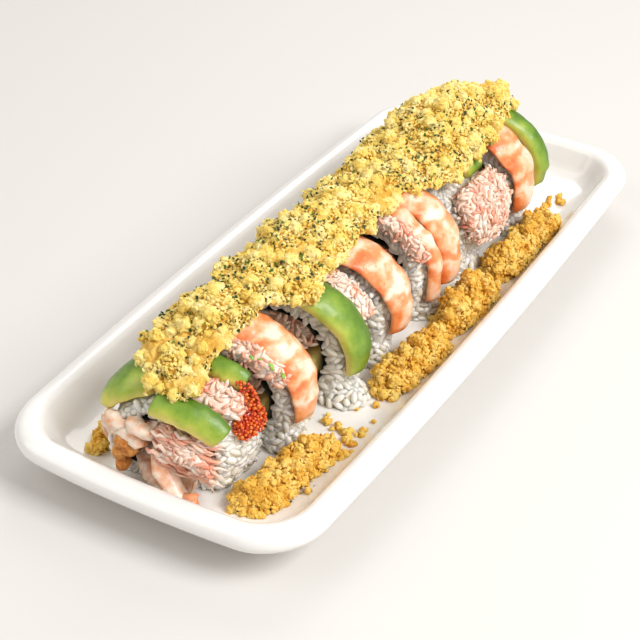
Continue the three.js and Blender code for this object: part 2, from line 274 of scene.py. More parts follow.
def new_tree(name, **sockets):
    """A geometry tree with named inputs, its input node and its output node."""
    tree = bpy.data.node_groups.new(name, "GeometryNodeTree")
    tree.interface.new_socket(name="Geometry", in_out="INPUT", socket_type="NodeSocketGeometry")
    for key, kind in sockets.items():
        tree.interface.new_socket(name=key.replace("_", " "), in_out="INPUT", socket_type="NodeSocket" + kind)
    tree.interface.new_socket(name="Geometry", in_out="OUTPUT", socket_type="NodeSocketGeometry")
    return tree, tree.nodes.new("NodeGroupInput"), tree.nodes.new("NodeGroupOutput")


def scatter_tree():
    """Lays shapes of a collection on a surface: spun at random, tilted, sunk and varied in size."""
    tree, given, result = new_tree(
        "scatter", Shapes="Collection", Spacing="Float", Density="Float", Smallest="Float", Largest="Float",
        Tilt="Float", Sink="Float", Seed="Int", Material="Material")
    points = add(tree, "GeometryNodeDistributePointsOnFaces", {"distribute_method": "POISSON"},
                 Mesh=out(given, "Geometry"), Distance_Min=out(given, "Spacing"),
                 Density_Max=out(given, "Density"), Seed=out(given, "Seed"))
    down = add(tree, "ShaderNodeMath", {"operation": "MULTIPLY"}, Value=out(given, "Sink"), Value_001=-1.0)
    offset = add(tree, "ShaderNodeVectorMath", {"operation": "SCALE"},
                 Vector=out(points, "Normal"), Scale=out(down))
    sunk = add(tree, "GeometryNodeSetPosition", Geometry=out(points, "Points"), Offset=out(offset))
    lean = add(tree, "FunctionNodeRandomValue", {"data_type": "FLOAT"}, Max_001=out(given, "Tilt"),
               Seed=out(given, "Seed"))
    spin = add(tree, "FunctionNodeRandomValue", {"data_type": "FLOAT"}, Max_001=2 * math.pi, Seed=11)
    about = add(tree, "FunctionNodeRandomValue", {"data_type": "FLOAT"}, Max_001=2 * math.pi, Seed=12)
    turn = add(tree, "ShaderNodeCombineXYZ", X=out(lean, "Value_001"), Y=0.0, Z=out(spin, "Value_001"))
    roll = add(tree, "ShaderNodeCombineXYZ", X=out(about, "Value_001"), Y=0.0, Z=0.0)
    own = add(tree, "FunctionNodeRotateRotation", {"rotation_space": "LOCAL"},
              Rotation=out(points, "Rotation"), Rotate_By=out(add(tree, "FunctionNodeEulerToRotation",
                                                                  Euler=out(turn))))
    rolled = add(tree, "FunctionNodeRotateRotation", {"rotation_space": "LOCAL"},
                 Rotation=out(own), Rotate_By=out(add(tree, "FunctionNodeEulerToRotation", Euler=out(roll))))
    size = add(tree, "FunctionNodeRandomValue", {"data_type": "FLOAT"}, Min_001=out(given, "Smallest"),
               Max_001=out(given, "Largest"), Seed=13)
    kind = add(tree, "FunctionNodeRandomValue", {"data_type": "INT"}, Min_002=0, Max_002=50, Seed=14)
    shapes = add(tree, "GeometryNodeCollectionInfo", Collection=out(given, "Shapes"), Separate_Children=True,
                 Reset_Children=True)
    laid = add(tree, "GeometryNodeInstanceOnPoints", Points=out(sunk), Instance=out(shapes),
               Pick_Instance=True,
               Instance_Index=out(kind, "Value_002"), Rotation=out(rolled), Scale=out(size, "Value_001"))
    tint = add(tree, "FunctionNodeRandomValue", {"data_type": "FLOAT"}, Min_001=0.0, Max_001=1.0, Seed=15)
    marked = add(tree, "GeometryNodeStoreNamedAttribute", {"data_type": "FLOAT", "domain": "INSTANCE"},
                 Geometry=out(laid), Name="tint", Value=out(tint, "Value_001"))
    real = add(tree, "GeometryNodeRealizeInstances", Geometry=out(marked))
    done = add(tree, "GeometryNodeSetMaterial", Geometry=out(real), Material=out(given, "Material"))
    tree.links.new(out(done), result.inputs[0])
    return tree


def rough_tree():
    """Splits a coarse solid finely and pushes its surface out and in with coarse and fine noise."""
    tree, given, result = new_tree(
        "rough", Level="Int", Coarse_Scale="Float", Coarse_Depth="Float", Fine_Scale="Float",
        Fine_Depth="Float", Material="Material")
    fine = add(tree, "GeometryNodeSubdivisionSurface", Mesh=out(given, "Geometry"), Level=out(given, "Level"))
    depth = None
    for scale, amount in (("Coarse Scale", "Coarse Depth"), ("Fine Scale", "Fine Depth")):
        texture = add(tree, "ShaderNodeTexNoise", {"noise_dimensions": "3D"}, Scale=out(given, scale),
                      Detail=2.0)
        centred = add(tree, "ShaderNodeMath", {"operation": "SUBTRACT"}, Value=out(texture, "Fac"),
                      Value_001=0.5)
        term = add(tree, "ShaderNodeMath", {"operation": "MULTIPLY"}, Value=out(centred),
                   Value_001=out(given, amount))
        depth = out(term) if depth is None else out(
            add(tree, "ShaderNodeMath", {"operation": "ADD"}, Value=depth, Value_001=out(term)))
    push = add(tree, "ShaderNodeVectorMath", {"operation": "SCALE"},
               Vector=out(add(tree, "GeometryNodeInputNormal")), Scale=depth)
    moved = add(tree, "GeometryNodeSetPosition", Geometry=out(fine), Offset=out(push))
    smooth = add(tree, "GeometryNodeSetShadeSmooth", Geometry=out(moved), Shade_Smooth=True)
    done = add(tree, "GeometryNodeSetMaterial", Geometry=out(smooth), Material=out(given, "Material"))
    tree.links.new(out(done), result.inputs[0])
    return tree


SCATTER = scatter_tree()
ROUGH = rough_tree()


def grown(name, surface, tree, **values):
    """The plain mesh object that a tree makes from a surface."""
    piece = bpy.data.objects.new(name, surface)
    bpy.context.scene.collection.objects.link(piece)
    modifier = piece.modifiers.new("grow", "NODES")
    modifier.node_group = tree
    for item in tree.interface.items_tree:
        key = item.name.replace(" ", "_")
        if item.in_out == "INPUT" and key in values:
            modifier[item.identifier] = values[key]
    evaluated = piece.evaluated_get(bpy.context.evaluated_depsgraph_get())
    mesh = bpy.data.meshes.new_from_object(evaluated)
    piece.modifiers.remove(modifier)
    piece.data = mesh
    return piece


def keep_above(piece, low):
    """Flattens what would pass below a height."""
    co = np.empty(len(piece.data.vertices) * 3, np.float32)
    piece.data.vertices.foreach_get("co", co)
    co[2::3] = np.maximum(co[2::3], low)
    piece.data.vertices.foreach_set("co", co)
    piece.data.update()
    return piece


def finished(piece, slot, *nodes):
    """Rides the piece on the object and lets it stand for solids, which it hides; its slot, the name of its
    finish, is not used.
    """
    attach(piece, "root")
    if nodes:
        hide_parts(*nodes)
    return piece


# Materials

def new_material(name, **values):
    """A material with its tree and principled shader, and object coordinates."""
    material = bpy.data.materials.new(name)
    material.use_nodes = True
    tree = material.node_tree
    shader = tree.nodes["Principled BSDF"]
    for key, value in values.items():
        shader.inputs[key.replace("_", " ")].default_value = value
    place = out(tree.nodes.new("ShaderNodeTexCoord"), "Object")
    return material, tree, shader, place


def noise_of(tree, place, scale, detail=3.0, rough=0.55):
    return out(add(tree, "ShaderNodeTexNoise", Vector=place, Scale=scale, Detail=detail, Roughness=rough),
               "Fac")


def ramp(tree, value, *stops):
    """Colours along a value; each stop is a place and a hex colour."""
    made = add(tree, "ShaderNodeValToRGB", Fac=value)
    points = made.color_ramp.elements
    while len(points) < len(stops):
        points.new(0.5)
    for point, (position, code) in zip(points, stops):
        point.position = position
        point.color = linear(code)
    return out(made, "Color")


def math_of(tree, operation, a, b):
    return out(add(tree, "ShaderNodeMath", {"operation": operation}, Value=a, Value_001=b))


def bumped(tree, shader, height, strength, distance=0.0006):
    bump = add(tree, "ShaderNodeBump", Height=height, Strength=strength, Distance=distance)
    tree.links.new(out(bump), shader.inputs["Normal"])


def attribute(tree, name):
    return out(add(tree, "ShaderNodeAttribute", {"attribute_name": name}), "Fac")


def porcelain():
    material, tree, shader, place = new_material(
        "white_porcelain", Base_Color=linear("#efedea"), Coat_Weight=0.5, Coat_Roughness=0.04)
    streak = noise_of(tree, place, 40, 4)
    rough = add(tree, "ShaderNodeMapRange", Value=streak, To_Min=0.1, To_Max=0.22)
    tree.links.new(out(rough), shader.inputs["Roughness"])
    bumped(tree, shader, noise_of(tree, place, 60, 1), 0.03)
    return material


def rice_grain():
    material, tree, shader, place = new_material(
        "cooked_rice", Roughness=0.25, Subsurface_Weight=0.6, Subsurface_Scale=0.003, Specular_IOR_Level=0.5)
    shader.inputs["Subsurface Radius"].default_value = (1.0, 0.9, 0.75)
    tint = attribute(tree, "tint")
    colour = ramp(tree, tint, (0.0, "#efe6d2"), (0.5, "#f7f1e3"), (1.0, "#fdfaf2"))
    tree.links.new(colour, shader.inputs["Base Color"])
    bumped(tree, shader, noise_of(tree, place, 900, 2), 0.15)
    return material


def nori_sheet():
    material, tree, shader, place = new_material("nori", Roughness=0.5)
    colour = ramp(tree, noise_of(tree, place, 600), (0.3, "#0d100c"), (0.7, "#232a1c"))
    tree.links.new(colour, shader.inputs["Base Color"])
    bumped(tree, shader, noise_of(tree, place, 1200, 4), 0.6)
    return material


def crunch(name, pale, mid, deep):
    """Fried batter: porous, in random patches from deep through mid to pale gold; the darker copy laid under the
    flakes is painted shade in their hollows.
    """
    material, tree, shader, place = new_material(
        name, Roughness=0.6, Subsurface_Weight=0.3, Subsurface_Scale=0.002, Specular_IOR_Level=0.35)
    shader.inputs["Subsurface Radius"].default_value = (1.0, 0.75, 0.35)
    patch = noise_of(tree, place, 160, 3)
    grain = noise_of(tree, place, 900, 3, 0.65)
    value = math_of(tree, "ADD", math_of(tree, "MULTIPLY", patch, 0.6), math_of(tree, "MULTIPLY", grain, 0.4))
    colour = ramp(tree, value, (0.3, deep), (0.47, mid), (0.62, pale))
    tree.links.new(colour, shader.inputs["Base Color"])
    pores = out(add(tree, "ShaderNodeTexVoronoi", Vector=place, Scale=700.0), "Distance")
    height = math_of(tree, "ADD", pores, grain)
    bumped(tree, shader, height, 0.7, 0.0005)
    return material


def dried_herb():
    material, tree, shader, _ = new_material("dried_herb", Roughness=0.7)
    colour = ramp(tree, attribute(tree, "tint"), (0.0, "#1f300b"), (0.6, "#354f12"), (1.0, "#5f7d22"))
    tree.links.new(colour, shader.inputs["Base Color"])
    return material


def shrimp_flesh():
    """White flesh with fine coral bands across it, strongest at its rims."""
    material, tree, shader, place = new_material(
        "cooked_shrimp", Roughness=0.3, Subsurface_Weight=0.3, Subsurface_Scale=0.003, Coat_Weight=0.25,
        Coat_Roughness=0.15)
    shader.inputs["Subsurface Radius"].default_value = (1.0, 0.55, 0.4)
    s = attribute(tree, "s")
    wobble = noise_of(tree, place, 110, 3)
    phase = math_of(tree, "ADD", math_of(tree, "MULTIPLY", s, 52.0), math_of(tree, "MULTIPLY", wobble, 14.0))
    band = out(add(tree, "ShaderNodeMath", {"operation": "SINE"}, Value=phase))
    fade = noise_of(tree, place, 100, 4)
    off_middle = math_of(tree, "SUBTRACT", attribute(tree, "t"), 0.5)
    rim = math_of(tree, "MULTIPLY", off_middle, off_middle)
    value = math_of(tree, "ADD", math_of(tree, "MULTIPLY", band, 0.13), math_of(tree, "MULTIPLY", fade, 0.9))
    value = math_of(tree, "ADD", value, rim)
    colour = ramp(tree, value, (0.32, "#fae2ce"), (0.47, "#f7c29a"), (0.61, "#f19c64"), (0.8, "#e27036"))
    tree.links.new(colour, shader.inputs["Base Color"])
    fibre = add(tree, "ShaderNodeMapping", Vector=place, Scale=(1.0, 3.0, 1.0))
    bumped(tree, shader, noise_of(tree, out(fibre), 500, 4), 0.35)
    return material


def avocado_flesh():
    """Dark green at its far top edge, through bright green to a buttery yellow on the near flank."""
    material, tree, shader, place = new_material(
        "avocado", Roughness=0.42, Subsurface_Weight=0.2, Subsurface_Scale=0.0025, Coat_Weight=0.12,
        Coat_Roughness=0.12)
    shader.inputs["Subsurface Radius"].default_value = (0.8, 1.0, 0.3)
    depth = math_of(tree, "ADD", math_of(tree, "MULTIPLY", attribute(tree, "h"), 0.45),
                    math_of(tree, "MULTIPLY", attribute(tree, "t"), 0.6))
    cloud = noise_of(tree, place, 110, 5)
    value = math_of(tree, "ADD", depth,
                    math_of(tree, "MULTIPLY", math_of(tree, "SUBTRACT", cloud, 0.33), 0.9))
    colour = ramp(tree, value, (0.05, "#efdc92"), (0.35, "#d6cc60"), (0.6, "#a4b540"), (0.8, "#789a2c"),
                  (1.0, "#54791c"))
    tree.links.new(colour, shader.inputs["Base Color"])
    bumped(tree, shader, noise_of(tree, place, 260, 5), 0.5)
    return material


def crab_shred():
    material, tree, shader, place = new_material(
        "crab_shreds", Roughness=0.4, Subsurface_Weight=0.4, Subsurface_Scale=0.002)
    shader.inputs["Subsurface Radius"].default_value = (1.0, 0.75, 0.65)
    patch = noise_of(tree, place, 150, 2)
    value = math_of(tree, "ADD", math_of(tree, "MULTIPLY", attribute(tree, "tint"), 0.3),
                    math_of(tree, "MULTIPLY", patch, 0.8))
    colour = ramp(tree, value, (0.3, "#fdeee2"), (0.5, "#fad6c2"), (0.68, "#f3ab90"), (0.85, "#e07a5c"))
    tree.links.new(colour, shader.inputs["Base Color"])
    bumped(tree, shader, noise_of(tree, place, 1300, 3), 0.4)
    return material


def plain_flesh(name, light, dark):
    """Moist flesh with soft patches of a second colour."""
    material, tree, shader, place = new_material(
        name, Roughness=0.32, Subsurface_Weight=0.3, Subsurface_Scale=0.002, Coat_Weight=0.2, Coat_Roughness=0.15)
    shader.inputs["Subsurface Radius"].default_value = (1.0, 0.6, 0.4)
    colour = ramp(tree, noise_of(tree, place, 220, 4), (0.42, light), (0.68, dark))
    tree.links.new(colour, shader.inputs["Base Color"])
    bumped(tree, shader, noise_of(tree, place, 600, 4), 0.35)
    return material


def roe_bead():
    material, tree, shader, _ = new_material(
        "orange_roe", Roughness=0.15, Subsurface_Weight=0.4, Subsurface_Scale=0.001, Coat_Weight=0.3)
    shader.inputs["Subsurface Radius"].default_value = (1.0, 0.4, 0.1)
    colour = ramp(tree, attribute(tree, "tint"), (0.0, "#b8330d"), (0.5, "#df5a16"), (1.0, "#ef8a35"))
    tree.links.new(colour, shader.inputs["Base Color"])
    return material


def build_materials():
    return {
        "plate": porcelain(), "rice": rice_grain(), "nori": nori_sheet(),
        "flakes": crunch("crunch_flakes", "#fae8a4", "#f3d36c", "#e2ae3e"),
        # the bed is a darker copy of the flakes, laid under them as painted shade in their hollows
        "flake_bed": crunch("crunch_bed", "#f0d078", "#e0b048", "#c48c28"),
        "crumbs": crunch("golden_crumbs", "#f9d87e", "#ebb648", "#cf8c24"),
        "tempura": crunch("browned_batter", "#dfa860", "#c9823c", "#96501c"),
        "herb": dried_herb(), "shrimp": shrimp_flesh(), "avocado": avocado_flesh(), "crab": crab_shred(),
        "roe": roe_bead(), "white_flesh": plain_flesh("white_shrimp", "#f9e6d4", "#eba878"),
        "coral": plain_flesh("coral_tail", "#f0a678", "#dd6a35"),
        "onion": plain_flesh("spring_onion", "#9cc552", "#4f8f2a"),
    }


LOOK = build_materials()


# Small shapes that are laid many times

def shape_set(name, meshes):
    """A collection, outside the scene, of the shapes to lay."""
    held = bpy.data.collections.new(name)
    for i, mesh in enumerate(meshes):
        held.objects.link(bpy.data.objects.new(f"{name}_{i}", mesh))
    return held


def grain_mesh(length, width, bend):
    """Blunt rice grain along X, a little bent."""
    sides = 8
    stations = [-1, -0.8, -0.35, 0.2, 0.7, 0.95]
    girths = [0.3, 0.72, 1.0, 0.98, 0.75, 0.35]
    verts = []
    for s, girth in zip(stations, girths):
        for j in range(sides):
            a = 2 * math.pi * j / sides
            lift = bend * width * (1 - s * s)
            high = girth * width / 2.2 * math.sin(a) + lift
            verts.append((s * length / 2, girth * width / 2 * math.cos(a), high))
    faces = tube_faces(len(stations), sides)
    mesh = bpy.data.meshes.new("grain")
    mesh.from_pydata(verts, [], faces)
    mesh.shade_smooth()
    return mesh


def blob_mesh(radius, detail, roughness, seed, stretch=(1, 1, 1), crisp=False):
    """Knobbly lump, with sharp facets if crisp."""
    form = bmesh.new()
    bmesh.ops.create_icosphere(form, subdivisions=detail, radius=1.0)
    for vert in form.verts:
        knob = noise.noise(vert.co * 1.7 + Vector((seed * 7.3, 0, 0)))
        spike = noise.noise(vert.co * 4.1 + Vector((0, seed * 5.1, 0)))
        vert.co *= radius * (1 + roughness * (knob + 0.6 * spike))
        vert.co = Vector((vert.co.x * stretch[0], vert.co.y * stretch[1], vert.co.z * stretch[2]))
    mesh = bpy.data.meshes.new("blob")
    form.to_mesh(mesh)
    form.free()
    if not crisp:
        mesh.shade_smooth()
    return mesh


def chip_mesh(size, seed):
    """Thin curled chip of dried leaf."""
    corners = 6
    verts = []
    for j in range(corners):
        a = 2 * math.pi * j / corners
        r = size * (0.6 + 0.5 * noise.noise(Vector((seed * 3.7, j * 1.9, 0.5))))
        verts.append((r * math.cos(a) * 1.3, r * math.sin(a), 0.25 * size * math.cos(a + seed)))
    verts += [(x, y, z + 0.18 * size) for x, y, z in verts]
    faces = [tuple(range(corners - 1, -1, -1)), tuple(range(corners, 2 * corners))]
    faces += [(j, (j + 1) % corners, corners + (j + 1) % corners, corners + j) for j in range(corners)]
    mesh = bpy.data.meshes.new("chip")
    mesh.from_pydata(verts, [], faces)
    return mesh


GRAINS = shape_set("grain", [grain_mesh(5.4 * MM, 2.5 * MM, b) for b in (0.02, 0.1, 0.16)])
CLUMPS = shape_set("clump", [blob_mesh(1.0 * MM, 2, 0.55, i) for i in range(6)])
BITS = shape_set("bit", [blob_mesh(1.0 * MM, 1, 0.8, 20 + i, (1.25, 0.9, 0.7), True) for i in range(6)])
CHIPS = shape_set("chip", [chip_mesh(0.75 * MM, i) for i in range(5)])
SHREDS = shape_set("shred", [blob_mesh(1.0 * MM, 1, 0.35, 40 + i, (2.1, 0.8, 0.6)) for i in range(5)])
BEADS = shape_set("bead", [blob_mesh(0.6 * MM, 2, 0.03, 60)])


# Pieces

def plate_ring(inset, z, corner_steps=14, side_steps=24):
    """Rounded oblong with bowed sides, drawn in by an inset."""
    radius = max(CORNER_RADIUS - 0.55 * inset, 6)
    ring = []
    for c, (sx, sy) in enumerate(((1, 1), (-1, 1), (-1, -1), (1, -1))):
        cx = sx * (PLATE_HALF_WIDTH - inset - radius)
        cy = sy * (PLATE_HALF_LENGTH - inset - radius)
        turns = [(c + i / corner_steps) * math.pi / 2 for i in range(corner_steps + 1)]
        ring += [(cx + radius * math.cos(t), cy + radius * math.sin(t)) for t in turns]
        shares = [1 - 2 * i / side_steps for i in range(1, side_steps)]
        if c % 2:
            ring += [(cx + sx * radius, cy * share) for share in shares]
        else:
            ring += [(cx * share, cy + sy * radius) for share in shares]
    bowed = []
    for x, y in ring:
        bowed.append((x * (1 - LONG_SIDE_BOW / PLATE_HALF_WIDTH * (y / PLATE_HALF_LENGTH) ** 2) * MM,
                      y * (1 - SHORT_SIDE_BOW / PLATE_HALF_LENGTH * (x / PLATE_HALF_WIDTH) ** 2) * MM,
                      z * MM))
    return bowed


def smooth_profile(knots, steps):
    """Rounded line through a profile's knots."""
    points = np.array(knots, float)
    lengths = np.concatenate([[0], np.cumsum(np.linalg.norm(np.diff(points, axis=0), axis=1))])
    spans = np.linspace(0, lengths[-1], steps)
    line = np.stack([np.interp(spans, lengths, points[:, i]) for i in (0, 1)], axis=1)
    for _ in range(steps // 5):
        line[1:-1] = (line[:-2] + 2 * line[1:-1] + line[2:]) / 4
    return [tuple(p) for p in line]


def build_plate():
    under = [(35, 2.5), (34.6, 2.2), (33.7, 0.15), (33.4, 0), (28.2, 0), (27.8, 0.15)]
    under += smooth_profile([(27.2, 0.6), (26.5, 1.2), (14, 8.4), (6.4, 11.6), (4.2, 11.82)], 14)
    lip = []
    for degrees in range(-75, 146, 10):
        a = math.radians(degrees)
        lip.append((LIP_HALF_WIDTH * (1 - math.cos(a)), RIM_HEIGHT - LIP_HALF_HEIGHT * (1 - math.sin(a))))
    inside = smooth_profile(WELL_WALL + [(26, 8.0)], 22)
    profile = under + lip + inside[1:]
    rings = [plate_ring(inset, z) for inset, z in profile]
    count = len(rings[0])
    faces = tube_faces(len(rings), count)
    piece = outward(mesh_piece("plate_glazed", [p for ring in rings for p in ring], faces, LOOK["plate"]))
    finished(piece, "glazed_porcelain", "plate")


def build_rice():
    floor = (FLOOR_HEIGHT + 0.15) * MM
    for number in range(1, len(SLICES) + 1):
        core = grown(f"rice_core_{number}", node_surface(f"rice_{number}", grow=-0.1 * MM), ROUGH, Level=2,
                     Coarse_Scale=300.0, Coarse_Depth=1.0 * MM, Fine_Scale=700.0, Fine_Depth=0.3 * MM,
                     Material=LOOK["rice"])
        finished(keep_above(core, floor), "rice", f"rice_{number}")
        shown = node_surface(f"rice_{number}",
                             lambda place, normal: normal.z > -0.75 and roll_share(place) > 0.8)
        grains = grown(f"rice_grains_{number}", shown, SCATTER, Shapes=GRAINS, Spacing=1.9 * MM, Density=9e5,
                       Smallest=0.82, Largest=1.12, Tilt=0.45, Sink=0.5 * MM, Seed=number,
                       Material=LOOK["rice"])
        finished(keep_above(grains, floor), "rice")


def build_rice_feet():
    """Rice that has spread from the slices on to the plate."""
    floor = (FLOOR_HEIGHT + 0.15) * MM
    domes = []
    for y, out_to, depth, height in RICE_FEET:
        form = bmesh.new()
        bmesh.ops.create_uvsphere(form, u_segments=20, v_segments=12, radius=1.0)
        middle = Vector((float(along(CENTRE_LINE, y)) + RICE_FOOT_SIDE, y, FLOOR_HEIGHT)) * MM
        for vert in form.verts:
            vert.co = middle + Vector((vert.co.x * out_to, vert.co.y * depth, vert.co.z * height)) * MM
        dome = bpy.data.meshes.new("rice_foot")
        form.to_mesh(dome)
        form.free()
        domes.append(dome)
    heap = joined(domes, "rice_feet_surface")
    core = grown("rice_feet_core", mesh_surface(heap, None, -0.9 * MM), ROUGH, Level=1, Coarse_Scale=300.0,
                 Coarse_Depth=1.0 * MM, Fine_Scale=700.0, Fine_Depth=0.3 * MM, Material=LOOK["rice"])
    finished(keep_above(core, floor), "rice")
    grains = grown("rice_feet_grains", mesh_surface(heap, lambda place, normal: place.z > floor), SCATTER,
                   Shapes=GRAINS, Spacing=1.9 * MM, Density=9e5, Smallest=0.82, Largest=1.12, Tilt=0.5,
                   Sink=0.3 * MM, Seed=41, Material=LOOK["rice"])
    finished(keep_above(grains, floor), "rice")


def build_nori():
    sides = 64
    for number, (near, far) in enumerate(SLICES, 1):
        rings = []
        for y, lift in ((near, -0.4), (far, -0.4), (far, -0.8), (near, -0.8)):
            angles = np.arange(sides) * 360 / sides
            wave = 0.25 * np.sin(np.radians(angles) * 5 + number) + 0.15 * np.sin(np.radians(angles) * 9)
            rings.append(on_roll(angles, y, lift + wave, HOLE_SHARE))
        piece = mesh_piece(f"nori_ring_{number}", np.concatenate(rings), ring_faces(4, sides, True),
                           LOOK["nori"],
                           smooth=False)
        finished(outward(piece), "nori", f"nori_{number}")


def draped(name, look, near, far, low, high, thick, skew, relief, width, edge=3.0, seed=0, rag=0.6):
    """Slab over the roll: relief(s, t) scales its thickness, width(s) its width, and skew moves its low end
    along the roll; s runs up it and t across it."""
    stations = 64
    around = 36
    s = np.linspace(0, 1, stations)[:, None]
    turn = np.linspace(0, 2 * np.pi, around, endpoint=False)[None, :]
    c, q = np.cos(turn), np.sin(turn)
    t = 0.5 + 0.5 * np.sign(c) * np.abs(c) ** (2 / edge) + 0 * s
    h = 0.5 + 0.5 * np.sign(q) * np.abs(q) ** (2 / edge) + 0 * s
    s = s + 0 * t
    ends = np.clip(np.minimum(s, 1 - s) / 0.06, 0.0, 1.0) ** 0.5
    body = thick * relief(s, t) * (0.25 + 0.75 * ends)
    rows = np.array([[noise.noise(Vector((seed * 3.1, v * 9.0, 0.3))),
                      noise.noise(Vector((seed * 3.1, v * 9.0, 7.3)))] for v in s[:, 0]])
    span = (far - near) * width(s)
    y = (near + far) / 2 + (t - 0.5) * span + rag * (rows[:, :1] * (1 - t) + rows[:, 1:] * t)
    y = y + skew * (1 - s) ** 1.5
    angle = low + (high - low) * s
    places = on_roll(angle, y, 1.0 + 0.1 * thick + h * body)
    verts = places.reshape(-1, 3)
    wobble = np.array([noise.noise(Vector(v) / (3.2 * MM)) for v in verts])
    verts = verts + 0.28 * MM * wobble[:, None] * np.array([0.6, 0.2, 1.0])
    faces = tube_faces(stations, around)
    return outward(mesh_piece(name, verts, faces, LOOK[look], s=s.ravel(), t=t.ravel(), h=h.ravel()))


def build_shrimp():
    def relief(s, t):
        segment = 0.5 + 0.5 * np.cos(2 * np.pi * (5.5 * s + 0.1 * np.sin(6 * t)))
        return (0.62 + 0.38 * np.sin(np.pi * np.clip(t, 0, 1))) * (0.8 + 0.2 * segment ** 0.6)

    def width(s):
        return 0.55 + 0.45 * np.sin(np.pi * s) ** 0.5

    for name, near, far, low, high, thick, skew, seed in SHRIMP_TOPS:
        piece = draped(name + "_flesh", "shrimp", near, far, low, high, thick, skew, relief, width, 2.5,
                       seed, 1.2)
        finished(piece, "shrimp", name)


def build_avocado():
    def relief(s, t):
        return 0.72 + 0.28 * np.sin(np.pi * np.clip(t, 0, 1))

    def width(s):
        return 0.6 + 0.4 * np.sin(np.pi * s) ** 0.5

    for name, near, far, low, high, thick, skew, seed in AVOCADO_TOPS:
        piece = draped(name + "_slice", "avocado", near, far, low, high, thick, skew, relief, width, 4.2,
                       seed, 0.5)
        finished(piece, "avocado", name)


def build_crab():
    names = [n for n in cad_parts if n.startswith("crab")]
    for name in names:
        core = grown(name + "_bed", node_surface(name, grow=-0.3 * MM), ROUGH, Level=3, Coarse_Scale=250.0,
                     Coarse_Depth=1.6 * MM, Fine_Scale=700.0, Fine_Depth=0.7 * MM, Material=LOOK["crab"])
        finished(core, "crab", name)
    surfaces = [node_surface(n) for n in names]
    shreds = grown("crab_shreds", joined(surfaces, "crab_surface"), SCATTER, Shapes=SHREDS, Spacing=1.5 * MM,
                   Density=1e6, Smallest=0.6, Largest=1.25, Tilt=0.6, Sink=0.1 * MM, Seed=5,
                   Material=LOOK["crab"])
    finished(shreds, "crab")


def build_fillings():
    for name in [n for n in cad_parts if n.startswith("avocado_filling")]:
        core = grown(name + "_strip", node_surface(name), ROUGH, Level=2, Coarse_Scale=200.0,
                     Coarse_Depth=0.5 * MM,
                     Fine_Scale=600.0, Fine_Depth=0.2 * MM, Material=LOOK["avocado"])
        finished(core, "avocado", name)
    core = grown("shrimp_filling_1_flesh", node_surface("shrimp_filling_1", grow=-1.0 * MM), ROUGH, Level=3,
                 Coarse_Scale=200.0, Coarse_Depth=5.0 * MM, Fine_Scale=600.0, Fine_Depth=1.4 * MM,
                 Material=LOOK["white_flesh"])
    finished(keep_above(core, (FLOOR_HEIGHT + 0.1) * MM), "shrimp", "shrimp_filling_1")
    core = grown("tempura_front_1_batter", node_surface("tempura_front_1"), ROUGH, Level=3,
                 Coarse_Scale=250.0,
                 Coarse_Depth=1.6 * MM, Fine_Scale=900.0, Fine_Depth=0.7 * MM, Material=LOOK["tempura"])
    finished(keep_above(core, (FLOOR_HEIGHT + 0.1) * MM), "tempura", "tempura_front_1")
    core = grown("roe_top_1_bed", node_surface("roe_top_1", grow=-0.4 * MM), ROUGH, Level=2,
                 Coarse_Scale=300.0,
                 Coarse_Depth=0.6 * MM, Fine_Scale=900.0, Fine_Depth=0.3 * MM, Material=LOOK["roe"])
    finished(core, "roe", "roe_top_1")
    verts, faces = tube([on_roll(angle, y, ROE_LIFT) / MM for angle, y in ROE_STRIP], ROE_GIRTH, 10)
    strip = bpy.data.meshes.new("roe_strip")
    strip.from_pydata(verts, [], faces)
    beads = grown("roe_beads", joined([node_surface("roe_top_1"), strip], "roe_surface"), SCATTER,
                  Shapes=BEADS, Spacing=0.9 * MM, Density=3e6, Smallest=0.75, Largest=1.1, Tilt=0.2,
                  Sink=0.0, Seed=3, Material=LOOK["roe"])
    finished(beads, "roe")


def build_flakes():
    def upper(place, normal):
        middle = Vector((float(along(CENTRE_LINE, place.y / MM)) * MM, place.y, 27 * MM))
        return normal.dot(place - middle) > 0 or abs(normal.y) > 0.4

    def crest(place, normal):
        patchy = noise.noise(place * HERB_PATCH) > -0.15
        return normal.z > 0.15 and patchy and upper(place, normal)

    # the bed under the clumps and bits takes the darker copy of the flake colours: painted shade in the hollows
    # between them
    core = grown("flake_bed", node_surface("flake_ridge", grow=-1.6 * MM), ROUGH, Level=3, Coarse_Scale=75.0,
                 Coarse_Depth=15.0 * MM, Fine_Scale=650.0, Fine_Depth=3.4 * MM, Material=LOOK["flake_bed"])
    finished(core, "flakes", "flake_ridge")
    clumps = grown("flake_clumps", mesh_surface(core.data, upper), SCATTER, Shapes=CLUMPS, Spacing=4.4 * MM,
                   Density=3e5, Smallest=1.2, Largest=3.1, Tilt=3.1, Sink=0.0, Seed=21,
                   Material=LOOK["flakes"])
    finished(clumps, "flakes")
    bits = grown("flake_bits", mesh_surface(core.data, upper, 0.6 * MM), SCATTER, Shapes=BITS,
                 Spacing=1.2 * MM, Density=4e6, Smallest=0.45, Largest=1.0, Tilt=3.1, Sink=0.0, Seed=22,
                 Material=LOOK["flakes"])
    finished(bits, "flakes")
    fluff = grown("flake_fluff", mesh_surface(clumps.data, upper), SCATTER, Shapes=BITS, Spacing=1.5 * MM,
                  Density=2e6, Smallest=0.4, Largest=0.85, Tilt=3.1, Sink=0.0, Seed=24,
                  Material=LOOK["flakes"])
    finished(fluff, "flakes")
    herbs = grown("flake_herbs", mesh_surface(core.data, crest, 1.5 * MM), SCATTER, Shapes=CHIPS,
                  Spacing=1.2 * MM, Density=1.5e5, Smallest=0.55, Largest=1.3, Tilt=0.9, Sink=0.0, Seed=23,
                  Material=LOOK["herb"])
    finished(herbs, "flakes")


